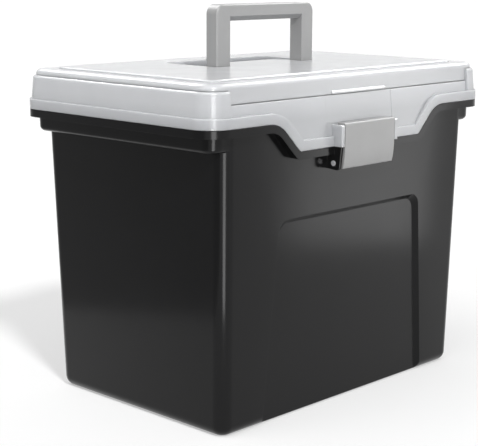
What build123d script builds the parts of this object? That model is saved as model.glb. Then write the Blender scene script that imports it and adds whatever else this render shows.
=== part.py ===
from build123d import *
import os
from math import atan, degrees, radians, sqrt, tan

# Portable file box: a tall moulded bin, a lid that is also an organiser tray, a cover over
# the tray that carries a folding handle, and a front latch.
# Millimetres. X runs along the width, the latch is on the -Y side, Z is up, and the origin
# is on the floor, under the middle of the rim.

# ---------------------------------------------------------------- driving dimensions
# Rim: the outline that the bin's flange and the lid's skirt share.
rim_width = 355.4
rim_depth = 230.5
rim_radius = 20.6
rim_height = 247.4            # top of the bin's flange
flange_height = 6.2

# Bin body: tapers from the rim down to the floor.
body_width = 314.6            # at the rim
body_depth = 216.4            # at the rim
floor_width = 306.0
floor_depth = 202.2
floor_shift = 2.0             # the rear wall leans more than the front one
body_radius = 11.5
base_radius = 9.0
bin_wall = 2.8
floor_thickness = 2.9
foot_recess = 1.5             # hollow under the floor
foot_width = 16.0             # ring that the box stands on

# Shoulders: the wall steps out at both ends, and hanging files ride on the step inside.
shoulder_width = 338.0
shoulder_drop = 18.9          # from the rim down to their lower edge
shoulder_radius = 4.5
shoulder_setback = 0.4        # their front and back faces lie a little behind the body's
rail_height = 8.0
rail_thickness = 2.5
rail_length = 180.0

# Front of the rim: it drops in the middle, along a slope with a rounded crest.
drop_depth = 24.1
drop_width = 155.4            # across the two lower corners
slope_angle = 45.0
crest_radius = 26.0
valley_radius = 2.0

# Sunken panel on the front of the bin.
panel_height = 168.4
panel_top_width = 183.4
panel_floor_width = 216.0
panel_depth = 4.0
panel_radius = 11.0

# Lid: skirt band, leaning wall, tray and ribs.
seam_gap = 0.4                # running gap between lid and bin, and between cover and lid
lid_rise = 28.4               # top edge of the lid's wall, above the rim
lid_lean = 2.6                # how far the wall leans in, on each side
lid_wall = 2.4
lid_edge_radius = 2.2
band_height = 8.4
band_proud = 0.8
tray_floor_rise = 4.8         # upper face of the tray's floor, above the rim
tray_floor_thickness = 2.2
lip_width = 4.0               # inward lip that the cover rests on
lip_thickness = 2.0
divider_height = 10.3
divider_thickness = 1.8
pen_tray_depth = 52.0         # long tray along the front
divider_spread = 118.0        # between the two short dividers
spigot_height = 6.0           # ring under the lid that drops into the bin's mouth
spigot_thickness = 2.0
spigot_gap = 1.0
front_lean = 4.3              # how far the front wall leans in, from its skirt up to the flap
shallow_width = 86.0          # shallow hollow in the lid's front, over the latch
shallow_depth = 0.4

# Cover.
cover_inset = 5.9             # from the rim's outline to the cover's edge
cover_edge_rise = 5.0         # flat ring round the panel, above the cover's lower edge
cover_edge_radius = 4.2
cover_wall = 2.2
panel_inset = 22.0            # from the rim's outline to the raised top panel
panel_rise = 1.6              # above the flat ring
panel_corner_radius = 9.0
panel_edge_chamfer = 0.8
groove_width = 1.4
groove_depth = 1.0
flap_width = 306.8
flap_height = 10.6            # below the cover's lower edge
flap_thickness = 2.0
flap_gap = 0.8
tab_width = 69.0
tab_height = 2.8
tab_proud = 1.4
bead_width = 56.0
bead_height = 1.6
bead_proud = 0.9

# Handle: a U-shaped bail that folds back into a well in the cover.
handle_width = 123.4
handle_rise = 52.2            # above the cover's top panel
handle_depth = 13.8
handle_middle = 1.0           # Y of the middle of a leg, and of its pivot
leg_width = 15.8
bar_height = 14.1
handle_corner_radius = 8.5
grip_chamfer = 4.0
handle_edge_chamfer = 1.1
fold_gap = 0.9                # room round the folded handle
fold_sink = 0.3               # how far the folded handle lies below the panel
well_wall = 2.0
island_depth = 33.0           # tongue between the legs
island_radius = 15.0

# Latch.
latch_width = 64.8
latch_height = 37.6
latch_drop = 4.6              # from the rim down to its top
latch_proud = 8.15            # its front face stands out this far from the rim
latch_thickness = 2.6
latch_toe_height = 18.0       # the plate's lower half curves in towards the bin
latch_toe_bend = 2.0
latch_edge_radius = 0.9
latch_shoulder_radius = 1.8
latch_pivot_rise = 4.5        # pin above the plate's lower edge
latch_pivot_depth = 9.1       # pin behind the plate's front face
latch_knuckle_radius = 4.4
latch_knuckle_width = 12.0
latch_knuckle_spread = 38.0   # between the middles of the two knuckles
hook_engagement = 2.2
hook_thickness = 1.8
hook_gap = 0.6
cheek_thickness = 3.5
cheek_gap = 0.7
cheek_height = 17.6
cheek_radius = 1.5            # of its upper corner
catch_thickness = 2.4
catch_height = 5.0
ear_thickness = 2.8
ear_drop = 5.7                # below the pin
ear_setback = 1.4             # behind the plate's front face
ear_radius = 2.5

# Hinge pins, each with a running fit in its barrels.
pin_fit = 0.06
latch_pin_diameter = 4.5
pin_proud = 0.5               # how far a pin stands out of its outer knuckles
lid_pin_diameter = 3.6
lid_barrel_radius = 4.0
lid_hinge_spread = 212.0
cover_pin_diameter = 3.0
cover_barrel_radius = 3.1
cover_hinge_spread = 128.0
cover_hinge_web = 9.0         # how far the carrying webs run down the lid's wall
barrel_gap = 0.6              # between a barrel and the wall that it hangs on
knuckle_length = 16.0         # middle knuckle, on the part that swings
ear_length = 7.0              # outer knuckles, on the part that carries it
knuckle_gap = 0.5             # between neighbouring knuckles
handle_pin_diameter = 5.0
handle_boss_radius = 4.4
handle_boss_length = 26.0     # across both walls of a leg's slot

# ---------------------------------------------------------------- worked-out places
side_run = (body_width - floor_width) / 2
front_run = (body_depth - floor_depth) / 2 - floor_shift
rear_run = (body_depth - floor_depth) / 2 + floor_shift
inner_floor = foot_recess + floor_thickness
shoulder_height = rim_height - shoulder_drop
ledge_height = shoulder_height + bin_wall
drop_top = rim_height - drop_depth
rear_face = rim_depth / 2

skirt_height = rim_height + seam_gap
skirt_front = rim_depth / 2 - band_proud
front_foot = drop_top + seam_gap
lid_height = rim_height + lid_rise
lid_inset = band_proud + lid_lean
tray_floor_height = rim_height + tray_floor_rise
tray_underside = tray_floor_height - tray_floor_thickness

cover_bottom = lid_height + seam_gap
cover_edge_height = cover_bottom + cover_edge_rise
cover_front = rim_depth / 2 - cover_inset
panel_top_height = cover_edge_height + panel_rise
flap_bottom = cover_bottom - flap_height
flap_seat = cover_front - flap_thickness - seam_gap
flap_ledge = flap_bottom - flap_gap
front_slope = front_lean / (flap_ledge - front_foot)

handle_top = panel_top_height + handle_rise
pivot_height = panel_top_height - fold_sink - handle_depth / 2
leg_spread = handle_width - leg_width
well_floor = pivot_height - handle_depth / 2 - fold_gap

latch_top = rim_height - latch_drop
latch_bottom = latch_top - latch_height
latch_front = rim_depth / 2 + latch_proud
latch_back = latch_front - latch_thickness
latch_underside = latch_top - latch_thickness
latch_pivot_height = latch_bottom + latch_pivot_rise
latch_pivot_reach = latch_front - latch_pivot_depth
cheek_inner = latch_width / 2 + cheek_gap
catch_front = latch_back - hook_gap

lid_hinge_height = rim_height + seam_gap / 2
lid_hinge_reach = rear_face + lid_barrel_radius + barrel_gap
cover_hinge_height = lid_height + seam_gap / 2
cover_hinge_reach = rear_face - lid_inset + cover_barrel_radius + barrel_gap
overlap = 1.0                 # how far added shapes run into what they join
beyond = 60.0                 # how far cutting shapes run past the material


# ---------------------------------------------------------------- shared outlines
def between(low, high, height):
    """Value at a height of something that grows evenly from the floor to the rim."""
    return low + (high - low) * height / rim_height


def leaning_block(low, high, width, spread, inset, corner_radius, foot_radius):
    """Make a block between two heights, its front and back set in from the body's faces.

    They lean as the body's do. Its ends are so far apart at its foot, and each leans out by
    spread over the height of the rim."""
    foot = Plane.XY.offset(low)
    with BuildPart() as block:
        with BuildSketch(foot):
            with Locations((0, between(-floor_shift, 0.0, low))):
                Rectangle(width, between(floor_depth, body_depth, low) - 2 * inset)
        extrude(amount=high - low)
        for axis, end, run in (
            (Axis.X, 0, spread), (Axis.X, -1, spread), (Axis.Y, 0, front_run), (Axis.Y, -1, rear_run),
        ):
            if run:
                draft(block.faces().sort_by(axis)[end], foot, -degrees(atan(run / rim_height)))
        fillet(block.edges().group_by(Axis.Z)[1], corner_radius)
        if foot_radius:
            fillet(block.edges().group_by(Axis.Z)[0], foot_radius)
    return block.part


def body_block(low, high, inset, foot_radius):
    """Make a block with the tapering body's form, inset on all four sides."""
    width = between(floor_width, body_width, low) - 2 * inset
    return leaning_block(low, high, width, side_run, inset, body_radius - inset, foot_radius)


def shoulder_block(low, high, inset, foot_radius):
    """Make a block with the shoulders' form, inset on all four sides."""
    width = shoulder_width - 2 * inset
    setback = shoulder_setback + inset
    return leaning_block(low, high, width, 0.0, setback, body_radius - inset, foot_radius)


def mouth_outline(inset, mode=Mode.ADD):
    """Draw the outline of the shoulders at the rim, inset on all four sides."""
    depth = body_depth - 2 * shoulder_setback - 2 * inset
    RectangleRounded(shoulder_width - 2 * inset, depth, body_radius - inset, mode=mode)


def rim_outline(inset=0.0):
    """Draw the rim's outline, inset on all four sides."""
    RectangleRounded(rim_width - 2 * inset, rim_depth - 2 * inset, rim_radius - inset)


def panel_outline(grow=0.0, mode=Mode.ADD):
    """Draw the raised top panel's outline, grown on all four sides."""
    width = rim_width - 2 * panel_inset + 2 * grow
    depth = rim_depth - 2 * panel_inset + 2 * grow
    RectangleRounded(width, depth, panel_corner_radius + grow, mode=mode)


def drop_face(lift, closing_height, mode=Mode.ADD):
    """Draw the face between a level line and the dropping edge of the rim.

    The edge is the top of the bin's flange, lifted square to its own length."""
    slide = lift * tan(radians(slope_angle / 2))
    low = drop_width / 2 - slide
    high = low + drop_depth / tan(radians(slope_angle))
    side = rim_width / 2 - rim_radius
    top = rim_height + lift
    valley = valley_radius - min(lift, 0.0)
    with BuildLine() as outline:
        edge = FilletPolyline(
            (-side, top), (-high, top), (-low, top - drop_depth),
            (low, top - drop_depth), (high, top), (side, top),
            radius=[crest_radius + lift, valley, valley, crest_radius + lift],
        )
        Polyline(edge @ 1, (side, closing_height), (-side, closing_height), edge @ 0)
    make_face(outline.edges(), mode=mode)


def sunken_panel(grow, near, far):
    """Loft the front panel's form between two depths behind the front wall's face.

    Its sides slant at 45 degrees, so it narrows as much as it deepens."""
    foot = (0, -floor_depth / 2 - floor_shift, 0)
    wall_face = Plane(origin=foot, x_dir=(1, 0, 0), z_dir=(0, -rim_height, -front_run))
    sections = []
    for depth in (near, far):
        side = grow - depth
        with BuildSketch(wall_face.offset(-depth)) as panel:
            with BuildLine():
                Polyline(
                    (-panel_floor_width / 2 - side, -base_radius),
                    (-panel_top_width / 2 - side, panel_height + side),
                    (panel_top_width / 2 + side, panel_height + side),
                    (panel_floor_width / 2 + side, -base_radius),
                    close=True,
                )
            make_face()
            fillet(panel.vertices().group_by(Axis.Y)[-1], panel_radius)
        sections.append(panel.sketch.face())
    loft(sections)


def knuckle(middle, length, reach, height, radius, wall, low, high):
    """Add one hinge knuckle: a barrel, with a web from half of it to the wall beside it.

    The web leaves the barrel's upper half where the wall's patch is above the axis."""
    foot = height if low > height else height - radius
    with BuildSketch(Plane.YZ.offset(middle - length / 2)) as profile:
        with Locations((reach, height)):
            Circle(radius)
        with BuildLine():
            Polyline((wall, low), (reach, foot), (reach, foot + radius), (wall, high), close=True)
        make_face()
    extrude(profile.sketch, amount=length)


def rod(middle, length, reach, height, radius, mode=Mode.ADD):
    """Add a round rod along X, or drill one out."""
    with Locations((middle, reach, height)):
        Cylinder(radius, length, rotation=(0, 90, 0), mode=mode)


def outer_knuckles(spread):
    """Middles, along X, of the carrying knuckles of a pair of hinges."""
    step = knuckle_length / 2 + knuckle_gap + ear_length / 2
    return [hinge + side * step for hinge in (-spread / 2, spread / 2) for side in (-1, 1)]


# ---------------------------------------------------------------- bin
with BuildPart() as panel_backing:
    sunken_panel(bin_wall * sqrt(2), bin_wall - overlap, panel_depth + bin_wall)

with BuildPart() as panel_cutter:
    sunken_panel(0.0, -overlap, panel_depth)

outer_body = body_block(0.0, rim_height, 0.0, base_radius)
shoulders = shoulder_block(shoulder_height, rim_height, 0.0, shoulder_radius)
body_cavity = body_block(inner_floor, rim_height + beyond, bin_wall, base_radius - bin_wall)
shoulder_cavity = shoulder_block(ledge_height, rim_height + beyond, bin_wall, 0.0)

with BuildPart() as bin_cavity:
    add(body_cavity)
    add(panel_backing.part, mode=Mode.SUBTRACT)
    add(shoulder_cavity)

with BuildPart() as file_bin:
    add(outer_body)
    add(shoulders)
    with BuildSketch(Plane.XY.offset(rim_height - flange_height)):
        rim_outline()
    extrude(amount=flange_height)
    # The flange follows the drop in the middle of the front.
    with BuildSketch(Plane.XZ.offset(rim_depth / 2)):
        drop_face(0.0, drop_top - beyond)
        drop_face(-flange_height, drop_top - beyond, mode=Mode.SUBTRACT)
    extrude(amount=-(rim_depth - body_depth) / 2 - bin_wall)
    with BuildSketch(Plane.XZ.offset(rim_depth / 2 + overlap)):
        drop_face(0.0, rim_height + beyond)
    extrude(amount=-beyond / 2, mode=Mode.SUBTRACT)
    add(bin_cavity.part, mode=Mode.SUBTRACT)
    add(panel_cutter.part, mode=Mode.SUBTRACT)
    with BuildSketch():
        with Locations((0, -floor_shift)):
            RectangleRounded(floor_width - 2 * foot_width, floor_depth - 2 * foot_width, body_radius)
    extrude(amount=foot_recess, mode=Mode.SUBTRACT)
    # Rails for hanging files, on the ledges at both ends.
    rail_middle = between(floor_width, body_width, ledge_height) / 2 - bin_wall + rail_thickness / 2
    with BuildSketch(Plane.XY.offset(ledge_height - overlap)):
        with Locations((-rail_middle, 0), (rail_middle, 0)):
            Rectangle(rail_thickness, rail_length)
    extrude(amount=rail_height + overlap)
    # Ears for the latch's pin.
    for side in (-1, 1):
        with BuildSketch(Plane.YZ.offset(side * (cheek_inner + ear_thickness / 2))) as ear:
            with BuildLine():
                Polyline(
                    (-body_depth / 2 + overlap, drop_top),
                    (-latch_front + ear_setback, drop_top),
                    (-latch_front + ear_setback + latch_toe_bend, latch_pivot_height - ear_drop),
                    (-body_depth / 2 + overlap, latch_pivot_height - ear_drop + overlap),
                    close=True,
                )
            make_face()
            fillet(ear.vertices().group_by(Axis.Y)[0], ear_radius)
        extrude(amount=ear_thickness / 2, both=True)
    rod(0, rim_width, -latch_pivot_reach, latch_pivot_height, latch_pin_diameter / 2 + pin_fit,
        mode=Mode.SUBTRACT)
    # Carrying knuckles of the lid's hinges.
    for place in outer_knuckles(lid_hinge_spread):
        knuckle(place, ear_length, lid_hinge_reach, lid_hinge_height, lid_barrel_radius,
                rear_face - overlap, rim_height - flange_height, rim_height)
    rod(0, rim_width, lid_hinge_reach, lid_hinge_height, lid_pin_diameter / 2 + pin_fit,
        mode=Mode.SUBTRACT)
file_bin.part.label = "bin"


# ---------------------------------------------------------------- lid
def front_step(setback):
    """Fill the space in front of the lid's front wall, moved back into the wall.

    Between its corner posts the wall leans back up to a ledge, then stands behind the flap."""
    with BuildSketch(Plane.YZ) as profile:
        with BuildLine():
            Polyline(
                (-skirt_front - beyond, front_foot),
                (-skirt_front + setback, front_foot),
                (-skirt_front + setback + front_lean, flap_ledge - setback),
                (-flap_seat + setback, flap_ledge - setback),
                (-flap_seat + setback, lid_height + beyond),
                (-skirt_front - beyond, lid_height + beyond),
                close=True,
            )
        make_face()
    extrude(profile.sketch, amount=(flap_width + flap_gap) / 2 + setback, both=True)


with BuildPart() as front_cutter:
    front_step(0.0)
    # Shallow hollow over the latch.
    with BuildSketch(Plane.YZ):
        with BuildLine():
            Polyline(
                (-skirt_front - beyond, front_foot),
                (-skirt_front + shallow_depth, front_foot),
                (-skirt_front + shallow_depth + front_lean, flap_ledge),
                (-skirt_front - beyond, flap_ledge),
                close=True,
            )
        make_face()
    extrude(amount=shallow_width / 2, both=True)
    # The band along the lower edge stays.
    with BuildSketch(Plane.XZ.offset(skirt_front + beyond)):
        drop_face(seam_gap + band_height, lid_height + beyond)
    extrude(amount=-beyond - rim_depth, mode=Mode.INTERSECT)

with BuildPart() as front_backing:
    front_step(lid_wall)

# The skirt follows the drop in the middle of the front.
with BuildPart() as front_skirt:
    with BuildSketch(Plane.XZ.offset(rim_depth / 2)):
        drop_face(seam_gap, tray_floor_height)
    extrude(amount=-band_proud - lid_wall - front_lean)
    add(front_backing.part, mode=Mode.INTERSECT)

with BuildPart() as lid_cavity:
    with BuildSketch(Plane.XY.offset(skirt_height - overlap)):
        rim_outline(band_proud + lid_wall)
    extrude(amount=tray_underside - skirt_height + overlap)
    with BuildSketch(Plane.XY.offset(tray_floor_height)):
        rim_outline(band_proud + lid_wall)
    with BuildSketch(Plane.XY.offset(lid_height - lip_thickness)):
        rim_outline(lid_inset + lid_wall)
    loft()
    with BuildSketch(Plane.XY.offset(tray_floor_height)):
        rim_outline(lid_inset + lid_wall + lip_width)
    extrude(amount=beyond)
    add(front_backing.part, mode=Mode.SUBTRACT)

with BuildPart() as dividers:
    pen_wall = pen_tray_depth + divider_thickness / 2 - flap_seat + lid_wall
    with BuildSketch(Plane.XY.offset(tray_floor_height - overlap)):
        with Locations((0, pen_wall)):
            Rectangle(rim_width, divider_thickness)
        with Locations((0, (rear_face + pen_wall) / 2)):
            with GridLocations(divider_spread, 0, 2, 1):
                Rectangle(divider_thickness, rear_face - pen_wall)
    extrude(amount=divider_height + overlap)
    with BuildSketch(Plane.XY.offset(tray_floor_height - overlap)):
        rim_outline(band_proud + lid_wall / 2)
    extrude(amount=divider_height + overlap, mode=Mode.INTERSECT)

with BuildPart() as lid:
    with BuildSketch(Plane.XY.offset(skirt_height)):
        rim_outline(band_proud)
    with BuildSketch(Plane.XY.offset(lid_height)):
        rim_outline(lid_inset)
    loft()
    fillet(lid.edges().group_by(Axis.Z)[-1], lid_edge_radius)
    with BuildSketch(Plane.XY.offset(skirt_height)):
        rim_outline()
    extrude(amount=band_height)
    add(front_skirt.part)
    add(front_cutter.part, mode=Mode.SUBTRACT)
    add(lid_cavity.part, mode=Mode.SUBTRACT)
    add(dividers.part)
    # A ring under the tray drops into the bin's mouth.
    with BuildSketch(Plane.XY.offset(rim_height - spigot_height)):
        mouth_outline(bin_wall + spigot_gap)
        mouth_outline(bin_wall + spigot_gap + spigot_thickness, mode=Mode.SUBTRACT)
    extrude(amount=tray_underside - rim_height + spigot_height)
    # Cheeks on both sides of the latch, with the bar that it hooks over between them.
    cheek_back = -skirt_front + shallow_depth + overlap / 2
    for side in (-1, 1):
        with BuildSketch(Plane.YZ.offset(side * (cheek_inner + cheek_thickness / 2))) as cheek:
            with BuildLine():
                Polyline(
                    (-latch_front, front_foot),
                    (cheek_back, front_foot),
                    (cheek_back + front_slope * cheek_height, front_foot + cheek_height),
                    (-latch_front, front_foot + cheek_height),
                    close=True,
                )
            make_face()
            fillet(cheek.vertices().sort_by(Axis.X)[:2].sort_by(Axis.Y)[-1], cheek_radius)
        extrude(amount=cheek_thickness / 2, both=True)
    with BuildSketch(Plane.YZ):
        with Locations((-catch_front + catch_thickness / 2,
                        latch_underside - hook_gap - catch_height / 2)):
            Rectangle(catch_thickness, catch_height)
    extrude(amount=cheek_inner + cheek_thickness / 2, both=True)
    # Groove that the flap's bead snaps into.
    with Locations((0, -flap_seat, flap_bottom + tab_height)):
        Box(bead_width + 2 * bead_proud, 2 * bead_proud, 2 * bead_height, mode=Mode.SUBTRACT)
    # Swinging knuckles of the lid's own hinges, and carrying knuckles for the cover.
    for hinge in (-lid_hinge_spread / 2, lid_hinge_spread / 2):
        knuckle(hinge, knuckle_length, lid_hinge_reach, lid_hinge_height, lid_barrel_radius,
                rear_face - overlap, skirt_height + seam_gap, skirt_height + band_height)
    for place in outer_knuckles(cover_hinge_spread):
        knuckle(place, ear_length, cover_hinge_reach, cover_hinge_height, cover_barrel_radius,
                rear_face - lid_inset - overlap, lid_height - cover_hinge_web,
                lid_height - lid_edge_radius)
    rod(0, rim_width, lid_hinge_reach, lid_hinge_height, lid_pin_diameter / 2 + pin_fit,
        mode=Mode.SUBTRACT)
    rod(0, rim_width, cover_hinge_reach, cover_hinge_height, cover_pin_diameter / 2 + pin_fit,
        mode=Mode.SUBTRACT)
lid.part.label = "lid"


# ---------------------------------------------------------------- organiser cover
well_front = handle_middle - handle_depth / 2 - fold_gap
well_rear = handle_middle + handle_top - pivot_height + fold_gap
well_width = handle_width + 2 * fold_gap
island_width = handle_width - 2 * leg_width - 2 * fold_gap


def well_outline(grow):
    """Draw the U-shaped well that the handle folds into, grown into the walls round it."""
    with BuildSketch(mode=Mode.PRIVATE) as outer:
        with Locations((0, (well_front + well_rear) / 2)):
            Rectangle(well_width + 2 * grow, well_rear - well_front + 2 * grow)
        fillet(outer.vertices().group_by(Axis.Y)[-1], handle_corner_radius + fold_gap + grow)
    with BuildSketch(mode=Mode.PRIVATE) as island:
        with Locations((0, well_front + (island_depth - grow) / 2 - grow)):
            Rectangle(island_width - 2 * grow, island_depth + grow)
        fillet(island.vertices().group_by(Axis.Y)[-1], island_radius - grow)
    add(outer.sketch)
    add(island.sketch, mode=Mode.SUBTRACT)


with BuildPart() as organiser_cover:
    with BuildSketch(Plane.XY.offset(cover_bottom)):
        rim_outline(cover_inset)
    extrude(amount=cover_edge_height - cover_bottom)
    fillet(organiser_cover.edges().group_by(Axis.Z)[-1], cover_edge_radius)
    with BuildSketch(Plane.XY.offset(cover_edge_height - groove_depth)):
        panel_outline(groove_width)
    extrude(amount=groove_depth, mode=Mode.SUBTRACT)
    with BuildSketch(Plane.XY.offset(cover_edge_height - groove_depth)):
        panel_outline()
    extrude(amount=panel_top_height - cover_edge_height + groove_depth)
    chamfer(organiser_cover.edges().group_by(Axis.Z)[-1], panel_edge_chamfer)
    with BuildSketch(Plane.XY.offset(cover_bottom)):
        rim_outline(cover_inset + cover_wall)
    extrude(amount=cover_edge_height - groove_depth - cover_wall - cover_bottom, mode=Mode.SUBTRACT)
    with BuildSketch(Plane.XY.offset(cover_bottom)):
        panel_outline(-cover_wall)
    extrude(amount=panel_top_height - cover_wall - cover_bottom, mode=Mode.SUBTRACT)
    # Front flap with its thumb tab and snap bead.
    with BuildSketch(Plane.YZ):
        with BuildLine():
            Polyline(
                (-cover_front, cover_bottom + overlap), (-cover_front, flap_bottom),
                (-cover_front + flap_thickness, flap_bottom),
                (-cover_front + flap_thickness, cover_bottom + overlap),
                close=True,
            )
        make_face()
    extrude(amount=flap_width / 2, both=True)
    with BuildSketch(Plane.YZ):
        with BuildLine():
            Polyline(
                (-cover_front + overlap, flap_bottom), (-cover_front - tab_proud, flap_bottom),
                (-cover_front - tab_proud, flap_bottom + tab_height - tab_proud),
                (-cover_front, flap_bottom + tab_height),
                (-cover_front + overlap, flap_bottom + tab_height),
                close=True,
            )
        make_face()
    extrude(amount=tab_width / 2, both=True)
    with Locations((0, -cover_front + flap_thickness, flap_bottom + tab_height)):
        Box(bead_width, 2 * bead_proud, bead_height)
    # Well for the folded handle, with the bosses for its pins.
    with BuildSketch(Plane.XY.offset(well_floor - well_wall)):
        well_outline(well_wall)
    extrude(amount=panel_top_height - panel_edge_chamfer - well_floor + well_wall)
    for side in (-1, 1):
        rod(side * leg_spread / 2, handle_boss_length, handle_middle, pivot_height, handle_boss_radius)
    with BuildSketch(Plane.XY.offset(well_floor)):
        well_outline(0.0)
    extrude(amount=beyond, mode=Mode.SUBTRACT)
    for side in (-1, 1):
        rod(side * leg_spread / 2, handle_boss_length + overlap, handle_middle, pivot_height,
            handle_pin_diameter / 2 + pin_fit, mode=Mode.SUBTRACT)
    # Swinging knuckles of the cover's hinges.
    for hinge in (-cover_hinge_spread / 2, cover_hinge_spread / 2):
        knuckle(hinge, knuckle_length, cover_hinge_reach, cover_hinge_height, cover_barrel_radius,
                cover_front - overlap, cover_bottom + seam_gap / 2, cover_edge_height - overlap)
    rod(0, rim_width, cover_hinge_reach, cover_hinge_height, cover_pin_diameter / 2 + pin_fit,
        mode=Mode.SUBTRACT)
organiser_cover.part.label = "organiser_cover"


# ---------------------------------------------------------------- handle
with BuildPart() as handle:
    with BuildSketch(Plane.XZ.offset(-handle_middle)) as bail:
        with Locations((0, (handle_top + pivot_height) / 2)):
            Rectangle(handle_width, handle_top - pivot_height)
        fillet(bail.vertices().group_by(Axis.Y)[-1], handle_corner_radius)
        with Locations((0, (handle_top - bar_height + pivot_height) / 2)):
            Rectangle(handle_width - 2 * leg_width, handle_top - bar_height - pivot_height,
                      mode=Mode.SUBTRACT)
    extrude(amount=handle_depth / 2, both=True)
    grip_edges = handle.edges().filter_by(Axis.X).filter_by_position(
        Axis.Z, handle_top - bar_height - overlap, handle_top - bar_height + overlap)
    chamfer(grip_edges, grip_chamfer)
    for side in (-1, 1):
        rod(side * leg_spread / 2, leg_width, handle_middle, pivot_height, handle_depth / 2)
    outer_edges = handle.edges().filter_by_position(
        Axis.Z, handle_top - overlap, handle_top + overlap).filter_by(Axis.X)
    chamfer(outer_edges, handle_edge_chamfer)
    for side in (-1, 1):
        rod(side * leg_spread / 2, leg_width + overlap, handle_middle, pivot_height,
            handle_pin_diameter / 2 + pin_fit, mode=Mode.SUBTRACT)
handle.part.label = "handle"


# ---------------------------------------------------------------- latch
lip_back = latch_back - 2 * hook_gap - catch_thickness - hook_thickness
latch_bend = latch_bottom + latch_toe_height
with BuildPart() as latch:
    with BuildSketch(Plane.YZ) as plate:
        with BuildLine():
            front = Line((-latch_front, latch_top), (-latch_front, latch_bend))
            back = Line((-latch_back, latch_underside), (-latch_back, latch_bend))
            front_toe = TangentArc(
                front @ 1, (-latch_front + latch_toe_bend, latch_bottom), tangent=front % 1)
            back_toe = TangentArc(
                back @ 1, (-latch_back + latch_toe_bend, latch_bottom), tangent=back % 1)
            Line(front_toe @ 1, back_toe @ 1)
            # Over the top the plate runs back into its hook.
            Polyline(
                (-latch_front, latch_top), (-lip_back, latch_top),
                (-lip_back, latch_underside - hook_gap - hook_engagement),
                (-lip_back - hook_thickness, latch_underside - hook_gap - hook_engagement),
                (-lip_back - hook_thickness, latch_underside),
                (-latch_back, latch_underside),
            )
        make_face()
        fillet(plate.vertices().group_by(Axis.Y)[0], latch_edge_radius)
        fillet(plate.vertices().sort_by(Axis.Y)[-2:].sort_by(Axis.X)[0], latch_shoulder_radius)
    extrude(amount=latch_width / 2, both=True)
    for side in (-1, 1):
        knuckle(side * latch_knuckle_spread / 2, latch_knuckle_width, -latch_pivot_reach,
                latch_pivot_height, latch_knuckle_radius, -latch_back - overlap,
                latch_pivot_height - latch_knuckle_radius + overlap,
                latch_pivot_height + latch_knuckle_radius)
    rod(0, rim_width, -latch_pivot_reach, latch_pivot_height, latch_pin_diameter / 2 + pin_fit,
        mode=Mode.SUBTRACT)
latch.part.label = "latch"


# ---------------------------------------------------------------- pins
def pin(label, middle, length, reach, height, diameter):
    """Make one hinge pin along X, and write it."""
    with BuildPart() as pin_part:
        rod(middle, length, reach, height, diameter / 2)
    pin_part.part.label = label
    export_step(pin_part.part, f"parts/{label}.step")


os.makedirs("parts", exist_ok=True)
export_step(file_bin.part, "parts/bin.step")
export_step(lid.part, "parts/lid.step")
export_step(organiser_cover.part, "parts/organiser_cover.step")
export_step(handle.part, "parts/handle.step")
export_step(latch.part, "parts/latch.step")

hinge_length = knuckle_length + 2 * (knuckle_gap + ear_length + pin_proud)
latch_pin_length = 2 * (cheek_inner + ear_thickness + pin_proud)
pin("latch_pin", 0.0, latch_pin_length, -latch_pivot_reach, latch_pivot_height, latch_pin_diameter)
for side, name in ((-1, "left"), (1, "right")):
    pin(f"lid_hinge_pin_{name}", side * lid_hinge_spread / 2, hinge_length,
        lid_hinge_reach, lid_hinge_height, lid_pin_diameter)
    pin(f"cover_hinge_pin_{name}", side * cover_hinge_spread / 2, hinge_length,
        cover_hinge_reach, cover_hinge_height, cover_pin_diameter)
    pin(f"handle_pin_{name}", side * leg_spread / 2, handle_boss_length,
        handle_middle, pivot_height, handle_pin_diameter)
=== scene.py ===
# %% [markdown]
# A portable file box in moulded plastic
#
# The box is a tall black bin for hanging files, a milky lid that is also a tray, a cover over
# that tray, a folding handle and a latch. Its pieces come from the CAD frame at their real size,
# in metres, and are never moved here. This script gives them their finishes, and sets up the
# floor, the light and the camera.

# %% load the frame
from math import cos, pi, radians, sin

import bpy
import numpy as np
from mathutils import Matrix, Vector

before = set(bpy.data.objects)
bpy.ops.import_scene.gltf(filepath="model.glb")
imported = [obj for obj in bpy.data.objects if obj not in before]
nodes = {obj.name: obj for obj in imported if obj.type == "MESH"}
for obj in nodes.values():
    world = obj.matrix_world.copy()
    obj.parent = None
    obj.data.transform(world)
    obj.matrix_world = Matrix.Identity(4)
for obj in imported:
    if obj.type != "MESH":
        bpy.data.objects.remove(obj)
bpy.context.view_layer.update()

print("nodes:", ", ".join(sorted(nodes)))

# %% [markdown]
# Colours are written as sRGB hex values, as in a paint chart. Blender's sockets want linear
# light, so one function turns them. Two more set a shader node's sockets and links and add new
# nodes, which keeps each material down to a few readable lines. Patterns are given in
# millimetres, because that is how a surface is described.

# %% colour and node helpers
MILLIMETRE = 0.001
BEVEL_SAMPLES = 6


def linear(code):
    """sRGB hex to linear: below 0.04045 divide by 12.92, above it the 2.4 power curve."""
    srgb = np.array([int(code[i:i + 2], 16) for i in (1, 3, 5)]) / 255
    value = np.where(srgb <= 0.04045, srgb / 12.92, ((srgb + 0.055) / 1.055) ** 2.4)
    return (*value.tolist(), 1.0)


def set_up(tree, node, values=None, links=None):
    """Set a node's sockets by name or number, and link other nodes' outputs to them."""
    for socket, value in (values or {}).items():
        node.inputs[socket].default_value = value
    for socket, source in (links or {}).items():
        tree.links.new(source, node.inputs[socket])
    return node


def add_node(tree, kind, settings=None, values=None, links=None):
    """Add a shader node with its settings, socket values and links."""
    node = tree.nodes.new(kind)
    for name, value in (settings or {}).items():
        setattr(node, name, value)
    return set_up(tree, node, values, links)


def math_node(tree, operation, first, second=None, number=None):
    """Combine an output with another output or with a number."""
    links = {0: first} if second is None else {0: first, 1: second}
    values = None if number is None else {1: number}
    return add_node(tree, "ShaderNodeMath", {"operation": operation}, values, links).outputs[0]


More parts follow.
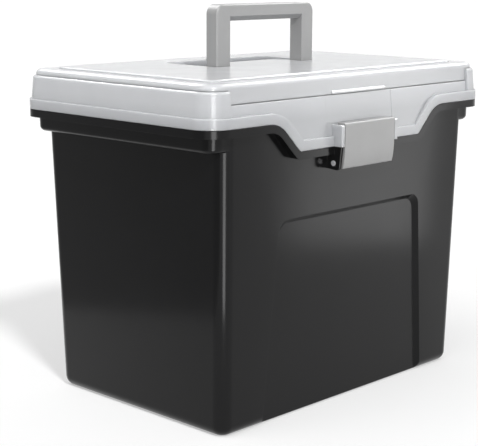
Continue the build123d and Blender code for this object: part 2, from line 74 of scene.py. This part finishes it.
def new_material(name):
    """Make an empty node material with its Principled shader, ready for settings."""
    material = bpy.data.materials.new(name)
    material.use_nodes = True
    return material, material.node_tree, material.node_tree.nodes["Principled BSDF"]


def noise(tree, size, detail=2.0, roughness=0.5, stretch=(1.0, 1.0, 1.0)):
    """Noise in object coordinates, its features so many millimetres wide. A stretch under 1
    makes them longer along that axis."""
    place = add_node(tree, "ShaderNodeTexCoord")
    mapping = add_node(tree, "ShaderNodeMapping", values={"Scale": stretch},
                       links={"Vector": place.outputs["Object"]})
    return add_node(
        tree, "ShaderNodeTexNoise",
        values={"Scale": 1.0 / (size * MILLIMETRE), "Detail": detail, "Roughness": roughness},
        links={"Vector": mapping.outputs["Vector"]},
    ).outputs["Fac"]


def remap(tree, source, low, high):
    """Turn a 0 to 1 pattern into a range of values."""
    return add_node(tree, "ShaderNodeMapRange", values={"To Min": low, "To Max": high},
                    links={"Value": source}).outputs["Result"]


def blend_colours(tree, factor, first, second):
    """Mix two colours by a 0 to 1 pattern."""
    return add_node(
        tree, "ShaderNodeMix", {"data_type": "RGBA"},
        values={"A": linear(first), "B": linear(second)}, links={"Factor": factor},
    ).outputs["Result"]


def relief(tree, source, height, strength, edge=0.35):
    """Bump of a real height, over edges broken to a small radius, both in millimetres."""
    rounding = add_node(tree, "ShaderNodeBevel", {"samples": BEVEL_SAMPLES},
                        {"Radius": edge * MILLIMETRE})
    return add_node(
        tree, "ShaderNodeBump", values={"Strength": strength, "Distance": height * MILLIMETRE},
        links={"Height": source, "Normal": rounding.outputs["Normal"]},
    ).outputs["Normal"]


# %% [markdown]
# The bin is polypropylene, coloured through with carbon black and moulded against a polished
# steel tool. Up close such a wall isn't a mirror: the melt leaves very shallow waves a
# centimetre or so wide, and handling leaves faint dull patches. So the gloss varies a little
# over centimetres, and a low bump bends the reflections.

# %% black polypropylene
POLYPROPYLENE_IOR = 1.49


def black_polypropylene():
    """Glossy black wall: near black, roughness about 0.17, flow waves 12 mm wide."""
    material, tree, shader = new_material("black_polypropylene")
    cloud = noise(tree, size=45.0, detail=3.0)
    patches = noise(tree, size=30.0, detail=5.0)
    waves = noise(tree, size=12.0, detail=1.0)
    set_up(tree, shader, {
        "IOR": POLYPROPYLENE_IOR,
        "Specular IOR Level": 0.22,
    }, {
        "Base Color": blend_colours(tree, cloud, "#0A0A0B", "#111112"),
        "Roughness": remap(tree, patches, low=0.15, high=0.20),
        "Normal": relief(tree, waves, height=0.02, strength=0.35),
    })
    return material


# %% [markdown]
# Lid and cover are the same plastic without pigment. Natural polypropylene is milky, because
# its crystals scatter light: a wall 2 mm thick lets light through but no picture. So light
# scatters about 5 mm deep under a satin skin. The skirt hangs in front of the bin's black rim,
# which darkens it where it shows through. That shade is painted into the colour, which fades
# down the lid to a darker tone while the top stays light.

# %% natural polypropylene
SKIRT_FOOT = 248.0 * MILLIMETRE
TRAY_WALL_TOP = 265.0 * MILLIMETRE
# How dark the painted shade makes the foot of the skirt.
SKIRT_PAINTED_SHADE = 0.8
SCATTER_DEPTH = 5.0 * MILLIMETRE


def paint_shade_below(tree, colour, low, high, tone):
    """Painted shade: darken a colour towards a tone, from one height in the frame down to
    another.
    """
    place = add_node(tree, "ShaderNodeTexCoord")
    split = add_node(tree, "ShaderNodeSeparateXYZ", links={"Vector": place.outputs["Object"]})
    ramp = add_node(
        tree, "ShaderNodeMapRange",
        values={"From Min": low, "From Max": high, "To Min": tone, "To Max": 1.0},
        links={"Value": split.outputs["Z"]},
    )
    return add_node(tree, "ShaderNodeHueSaturation",
                    links={"Color": colour, "Value": ramp.outputs["Result"]}).outputs["Color"]


def natural_polypropylene():
    """Milky wall: pale grey white, light comes through, satin gloss, faint flow marks, and
    painted shade down the skirt.
    """
    material, tree, shader = new_material("natural_polypropylene")
    cloud = noise(tree, size=60.0, detail=3.0, stretch=(0.5, 1.0, 2.0))
    patches = noise(tree, size=25.0, detail=4.0)
    waves = noise(tree, size=14.0, detail=1.0)
    milky = blend_colours(tree, cloud, "#D5D7DA", "#DFE0E3")
    set_up(tree, shader, {
        "IOR": POLYPROPYLENE_IOR,
        "Subsurface Weight": 1.0,
        "Subsurface Radius": (1.0, 1.0, 1.0),
        "Subsurface Scale": SCATTER_DEPTH,
        "Transmission Weight": 0.15,
    }, {
        # The skirt's darker tone is painted shade, for the black rim seen through it.
        "Base Color": paint_shade_below(tree, milky, SKIRT_FOOT, TRAY_WALL_TOP, SKIRT_PAINTED_SHADE),
        "Roughness": remap(tree, patches, low=0.18, high=0.26),
        "Normal": relief(tree, waves, height=0.02, strength=0.3),
    })
    return material


# %% [markdown]
# Handle and latch are a stiffer grey plastic, moulded against a lightly etched tool, so the
# skin has a fine even grain and only a soft sheen. The real grain is about 0.2 mm, too fine to
# show from here, so it is drawn about three times as coarse.

# %% grey grained plastic
def grey_plastic():
    """Satin grey: roughness about 0.45 and a fine etched grain."""
    material, tree, shader = new_material("grey_etched_plastic")
    cloud = noise(tree, size=20.0, detail=3.0)
    patches = noise(tree, size=15.0)
    grain = noise(tree, size=0.6, detail=3.0, roughness=0.6)
    set_up(tree, shader, {
        "IOR": 1.5,
    }, {
        "Base Color": blend_colours(tree, cloud, "#9B9B9B", "#A3A3A3"),
        "Roughness": remap(tree, patches, low=0.4, high=0.5),
        "Normal": relief(tree, grain, height=0.02, strength=0.5, edge=0.5),
    })
    return material


# %% [markdown]
# The pins are cut from drawn steel wire. Drawing leaves fine lines along the wire, which here
# all run along X, so the noise is stretched a hundred times that way. The cut ends, which are
# what shows, are dull and pale, so the metal is light and fairly rough.

# %% drawn steel
def drawn_steel():
    """Pale wire: metal, roughness about 0.5, with lines along X."""
    material, tree, shader = new_material("drawn_steel_wire")
    lines = noise(tree, size=0.4, stretch=(0.01, 1.0, 1.0))
    set_up(tree, shader, {
        "Metallic": 1.0,
    }, {
        "Base Color": blend_colours(tree, lines, "#DCDCDE", "#ECECEE"),
        "Roughness": remap(tree, lines, low=0.45, high=0.6),
        "Normal": relief(tree, lines, height=0.01, strength=0.4, edge=0.15),
    })
    return material


# %% [markdown]
# Each CAD node arrives as loose triangles. Welding them and splitting only the sharp edges
# lets the round corners shade smoothly, and both are modifiers, so the mesh itself stays as
# it was packed.

# %% finish every CAD node
SHARP_ANGLE = radians(28.0)
WELD_DISTANCE = 0.002 * MILLIMETRE


def finish_node(name, material):
    """Give a CAD node its material and smooth shading with crisp edges."""
    piece = nodes[name]
    piece.data.materials.clear()
    piece.data.materials.append(material)
    piece.data.polygons.foreach_set("use_smooth", [True] * len(piece.data.polygons))
    weld = piece.modifiers.new("weld", "WELD")
    weld.merge_threshold = WELD_DISTANCE
    split = piece.modifiers.new("crisp_edges", "EDGE_SPLIT")
    split.split_angle = SHARP_ANGLE


black = black_polypropylene()
natural = natural_polypropylene()
grey = grey_plastic()
steel = drawn_steel()

# Every piece that isn't named here is a pin.
finishes = {
    "bin": black,
    "lid": natural,
    "organiser_cover": natural,
    "handle": grey,
    "latch": grey,
}
for name in nodes:
    finish_node(name, finishes.get(name, steel))
print("finished", len(nodes), "nodes")

# %% [markdown]
# The floor is a wide pale sheet. It takes the box's shadow, and a weak glow that only camera,
# reflection and transmission rays see lifts it to white without lighting the box. The world
# does the same behind it.

# %% floor and world
FLOOR_SIZE = 60.0
FLOOR_GLOW = 0.38
SKY_LIGHT = 0.40
BLACK = "#000000"
WHITE = "#FFFFFF"


def add_object(name, data):
    """Put a mesh, a lamp or a camera in the scene."""
    piece = bpy.data.objects.new(name, data)
    bpy.context.scene.collection.objects.link(piece)
    return piece


def flat_sheet(name, width, height):
    """Make a rectangle round its own middle, facing up."""
    x, y = width / 2, height / 2
    mesh = bpy.data.meshes.new(name)
    mesh.from_pydata([(-x, -y, 0), (x, -y, 0), (x, y, 0), (-x, y, 0)], [], [(0, 1, 2, 3)])
    return add_object(name, mesh)


def seen_directly(tree):
    """1 for camera, glossy and transmission rays, 0 for the light that falls on things."""
    path = add_node(tree, "ShaderNodeLightPath")
    seen = path.outputs["Is Camera Ray"]
    for kind in ("Is Glossy Ray", "Is Transmission Ray"):
        seen = math_node(tree, "MAXIMUM", seen, path.outputs[kind])
    return seen


def make_floor():
    """Lay one large square on the plane z = 0."""
    floor = flat_sheet("floor", FLOOR_SIZE, FLOOR_SIZE)
    material, tree, shader = new_material("white_sheet")
    glow = math_node(tree, "MULTIPLY", seen_directly(tree), number=FLOOR_GLOW)
    set_up(tree, shader, {
        "Base Color": linear("#CCCCCC"),
        "Roughness": 0.9,
        "Specular IOR Level": 0.1,
        "Emission Color": linear(WHITE),
    }, {
        "Emission Strength": glow,
    })
    floor.data.materials.append(material)


def make_world():
    """White where it is seen or reflected, and a softer fill where it only lights."""
    world = bpy.data.worlds.new("studio")
    bpy.context.scene.world = world
    world.use_nodes = True
    tree = world.node_tree
    strength = remap(tree, seen_directly(tree), SKY_LIGHT, 1.0)
    set_up(tree, tree.nodes["Background"], {"Color": linear(WHITE)}, {"Strength": strength})


make_floor()
make_world()

# %% [markdown]
# Two lamps stand far off. The smaller one is in front, 22 degrees to the left and 42 degrees
# up, and its shadow falls back and shows past the box's left rear corner. The other is wide and
# soft, above the left end, and fills what the first one leaves dark. The rest of the light
# comes from the white room.
#
# Glossy plastic shows what stands round it, so there are five cards that only reflections see.
# A dim one beside the left end keeps that end dark. A bright one at the right front lifts the
# upper half of the front, and a narrow one draws the line down the near corner. Two high ones,
# at the right and behind, draw light lines along the rounded upper edges.

# %% lamps and cards
BOX_MIDDLE = (0.0, 0.0, 0.15)


def stand(piece, turn, distance, height, look_at=None):
    """Stand a piece round the box and face it to a point, or else straight in and level. A turn
    of 0 degrees is in front, and more is to the right."""
    turn = radians(turn)
    piece.location = (sin(turn) * distance, -cos(turn) * distance, height)
    target = Vector(look_at or (0.0, 0.0, height))
    piece.rotation_euler = (target - piece.location).to_track_quat("-Z", "Y").to_euler()


def far_lamp(name, brightness, spread):
    """A large lamp far off, so that it lights the whole floor evenly. Its brightness is that of
    a white sheet that faces it, and its spread is how wide it looks, in degrees."""
    lamp = bpy.data.lights.new(name, "SUN")
    lamp.energy = brightness * pi
    lamp.angle = radians(spread)
    return add_object(name, lamp)


def card(name, turn, distance, rise, width, height, brightness, look_at=None):
    """Stand a card that only reflections see. The rise is that of its middle, and a brightness
    of 0 is black and 1 is white."""
    piece = flat_sheet(name, width, height)
    material, tree, shader = new_material(name)
    set_up(tree, shader, {
        "Base Color": linear(BLACK),
        "Specular IOR Level": 0.0,
        "Emission Color": linear(WHITE),
        "Emission Strength": brightness,
    })
    piece.data.materials.append(material)
    for ray in ("camera", "diffuse", "transmission", "shadow"):
        setattr(piece, "visible_" + ray, False)
    stand(piece, turn, distance, rise, look_at)


# Only the direction of a lamp this far off counts, not its distance.
front_lamp = far_lamp("front_lamp", brightness=0.62, spread=8.0)
stand(front_lamp, turn=-22.0, distance=1.75, height=1.75, look_at=BOX_MIDDLE)
left_lamp = far_lamp("left_lamp", brightness=0.32, spread=60.0)
stand(left_lamp, turn=-100.0, distance=1.0, height=1.6, look_at=BOX_MIDDLE)

card("left_card", turn=-119.3, distance=0.378, rise=0.4, width=1.0, height=0.8, brightness=0.5)
card("front_card", turn=45.1, distance=0.637, rise=0.4, width=0.19, height=0.8, brightness=3.2,
     look_at=(0.202, -0.017, 0.4))
card("corner_card", turn=-43.5, distance=0.43, rise=0.3, width=0.09, height=0.6, brightness=8.0,
     look_at=(-0.149, -0.1, 0.3))
card("right_edge_card", turn=85.0, distance=1.2, rise=1.25, width=0.9, height=0.6,
     brightness=12.0, look_at=BOX_MIDDLE)
card("back_edge_card", turn=175.0, distance=1.2, rise=1.35, width=0.9, height=0.6,
     brightness=12.0, look_at=BOX_MIDDLE)

# %% [markdown]
# The camera looks down a little from off the left front corner, with a long lens, so that the
# upright edges stay almost parallel.

# %% camera
CAMERA_TURN = radians(-46.01)
CAMERA_FALL = radians(11.32)
CAMERA_ROLL = radians(0.23)
CAMERA_DISTANCE = 1.180
CAMERA_AIM = (0.0, 0.0, 0.1545)
# The aim is moved this far to the right and up, seen from the camera, to place the box.
AIM_RIGHT = -0.0195
AIM_UP = -0.01553
SENSOR_WIDTH = 36.0
LENS = 98.54
NEAREST = 0.05
FARTHEST = 200.0


def make_camera():
    """Place the camera from its turn round the box, its fall and its distance."""
    back = Vector((sin(CAMERA_TURN) * cos(CAMERA_FALL), -cos(CAMERA_TURN) * cos(CAMERA_FALL),
                   sin(CAMERA_FALL)))
    level = Vector((cos(CAMERA_TURN), sin(CAMERA_TURN), 0.0))
    rise = back.cross(level)
    right = cos(CAMERA_ROLL) * level + sin(CAMERA_ROLL) * rise
    up = cos(CAMERA_ROLL) * rise - sin(CAMERA_ROLL) * level
    aim = Vector(CAMERA_AIM) + AIM_RIGHT * level + AIM_UP * rise
    place = aim + CAMERA_DISTANCE * back
    data = bpy.data.cameras.new("camera")
    data.sensor_width = SENSOR_WIDTH
    data.lens = LENS
    data.clip_start = NEAREST
    data.clip_end = FARTHEST
    camera = add_object("camera", data)
    turned = Matrix((right, up, back)).transposed().to_4x4()
    camera.matrix_world = Matrix.Translation(place) @ turned
    bpy.context.scene.camera = camera


make_camera()
bpy.context.scene.view_settings.view_transform = "Standard"
